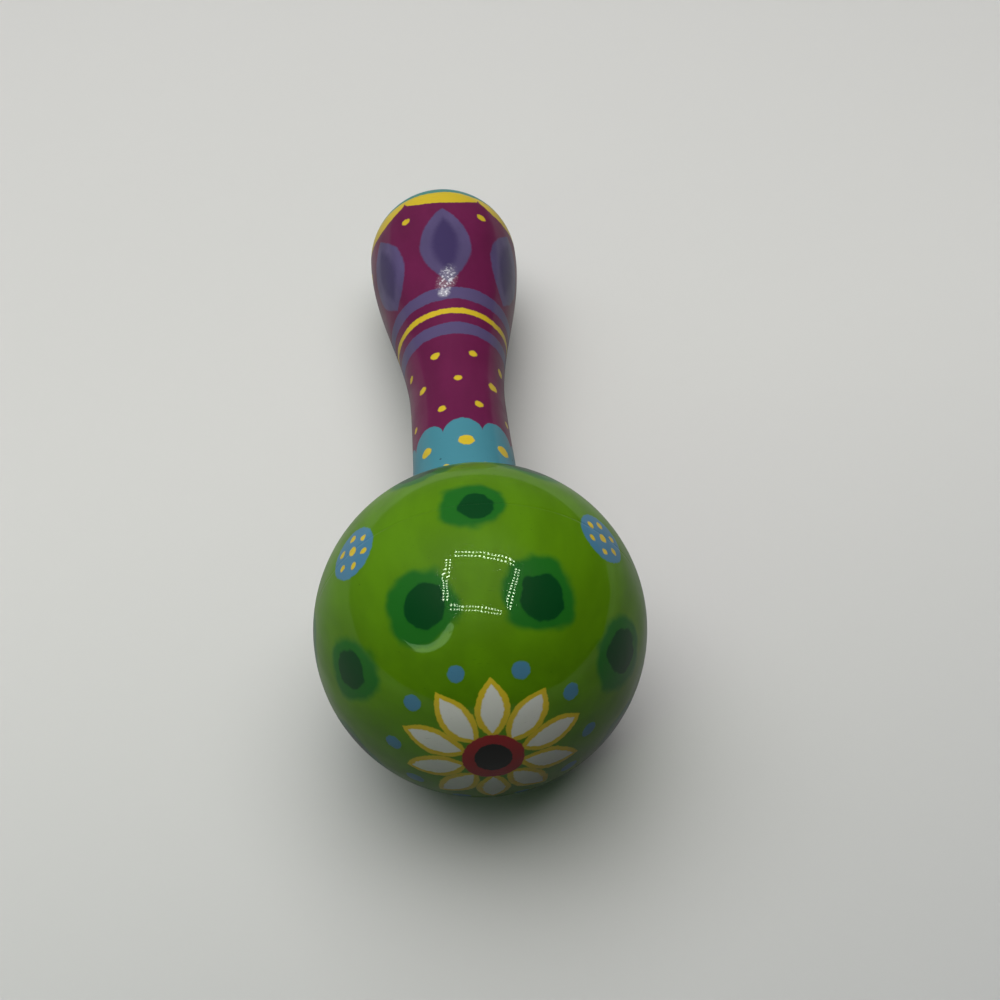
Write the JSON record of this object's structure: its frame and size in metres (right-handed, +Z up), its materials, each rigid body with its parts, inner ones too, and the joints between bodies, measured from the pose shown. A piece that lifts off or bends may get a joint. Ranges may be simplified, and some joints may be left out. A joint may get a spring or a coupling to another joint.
{
  "type": "wooden shaker",
  "caption": "Child's wooden hand shaker: a hollow turned ball in glued halves on a waisted, round-ended handle, with loose beads inside that rattle when it is shaken.",
  "frame": {"origin": "centre of the shaker's outline on the surface that it lies on", "axes": "+Z up; +Y from the ball towards the handle's end, along the shaker's length; the turning axis dips towards +Y because the knob is thinner than the ball"},
  "size_m": [0.056, 0.1568, 0.0557],
  "materials": {
    "head_paint": "green toy paint with painted dots under gloss lacquer, on turned wood",
    "handle_paint": "magenta toy paint with painted bands under gloss lacquer, on turned wood",
    "bead_steel": "plain steel shot"
  },
  "bodies": {
    "shaker": {"head_front_half": "head_paint", "head_rear_half": "head_paint", "handle": "handle_paint"},
    "bead_01": {"bead_01": "bead_steel"},
    "bead_02": {"bead_02": "bead_steel"},
    "bead_03": {"bead_03": "bead_steel"},
    "bead_04": {"bead_04": "bead_steel"},
    "bead_05": {"bead_05": "bead_steel"},
    "bead_06": {"bead_06": "bead_steel"},
    "bead_07": {"bead_07": "bead_steel"},
    "bead_08": {"bead_08": "bead_steel"},
    "bead_09": {"bead_09": "bead_steel"},
    "bead_10": {"bead_10": "bead_steel"},
    "bead_11": {"bead_11": "bead_steel"},
    "bead_12": {"bead_12": "bead_steel"},
    "bead_13": {"bead_13": "bead_steel"},
    "bead_14": {"bead_14": "bead_steel"},
    "bead_15": {"bead_15": "bead_steel"},
    "bead_16": {"bead_16": "bead_steel"},
    "bead_17": {"bead_17": "bead_steel"},
    "bead_18": {"bead_18": "bead_steel"},
    "bead_19": {"bead_19": "bead_steel"}
  },
  "joints": [
    {"name": "bead_01_hop", "type": "slide", "parent": "shaker", "child": "bead_01", "axis": [0, 0, 1], "range_m": [0, 0.04009]},
    {"name": "bead_02_hop", "type": "slide", "parent": "shaker", "child": "bead_02", "axis": [0, 0, 1], "range_m": [0, 0.03861]},
    {"name": "bead_03_hop", "type": "slide", "parent": "shaker", "child": "bead_03", "axis": [0, 0, 1], "range_m": [0, 0.03861]},
    {"name": "bead_04_hop", "type": "slide", "parent": "shaker", "child": "bead_04", "axis": [0, 0, 1], "range_m": [0, 0.03861]},
    {"name": "bead_05_hop", "type": "slide", "parent": "shaker", "child": "bead_05", "axis": [0, 0, 1], "range_m": [0, 0.03861]},
    {"name": "bead_06_hop", "type": "slide", "parent": "shaker", "child": "bead_06", "axis": [0, 0, 1], "range_m": [0, 0.03861]},
    {"name": "bead_07_hop", "type": "slide", "parent": "shaker", "child": "bead_07", "axis": [0, 0, 1], "range_m": [0, 0.03861]},
    {"name": "bead_08_hop", "type": "slide", "parent": "shaker", "child": "bead_08", "axis": [0, 0, 1], "range_m": [0, 0.03378]},
    {"name": "bead_09_hop", "type": "slide", "parent": "shaker", "child": "bead_09", "axis": [0, 0, 1], "range_m": [0, 0.03378]},
    {"name": "bead_10_hop", "type": "slide", "parent": "shaker", "child": "bead_10", "axis": [0, 0, 1], "range_m": [0, 0.03378]},
    {"name": "bead_11_hop", "type": "slide", "parent": "shaker", "child": "bead_11", "axis": [0, 0, 1], "range_m": [0, 0.03378]},
    {"name": "bead_12_hop", "type": "slide", "parent": "shaker", "child": "bead_12", "axis": [0, 0, 1], "range_m": [0, 0.03378]},
    {"name": "bead_13_hop", "type": "slide", "parent": "shaker", "child": "bead_13", "axis": [0, 0, 1], "range_m": [0, 0.03378]},
    {"name": "bead_14_hop", "type": "slide", "parent": "shaker", "child": "bead_14", "axis": [0, 0, 1], "range_m": [0, 0.03378]},
    {"name": "bead_15_hop", "type": "slide", "parent": "shaker", "child": "bead_15", "axis": [0, 0, 1], "range_m": [0, 0.03378]},
    {"name": "bead_16_hop", "type": "slide", "parent": "shaker", "child": "bead_16", "axis": [0, 0, 1], "range_m": [0, 0.03378]},
    {"name": "bead_17_hop", "type": "slide", "parent": "shaker", "child": "bead_17", "axis": [0, 0, 1], "range_m": [0, 0.03378]},
    {"name": "bead_18_hop", "type": "slide", "parent": "shaker", "child": "bead_18", "axis": [0, 0, 1], "range_m": [0, 0.03378]},
    {"name": "bead_19_hop", "type": "slide", "parent": "shaker", "child": "bead_19", "axis": [0, 0, 1], "range_m": [0, 0.03378]}
  ]
}
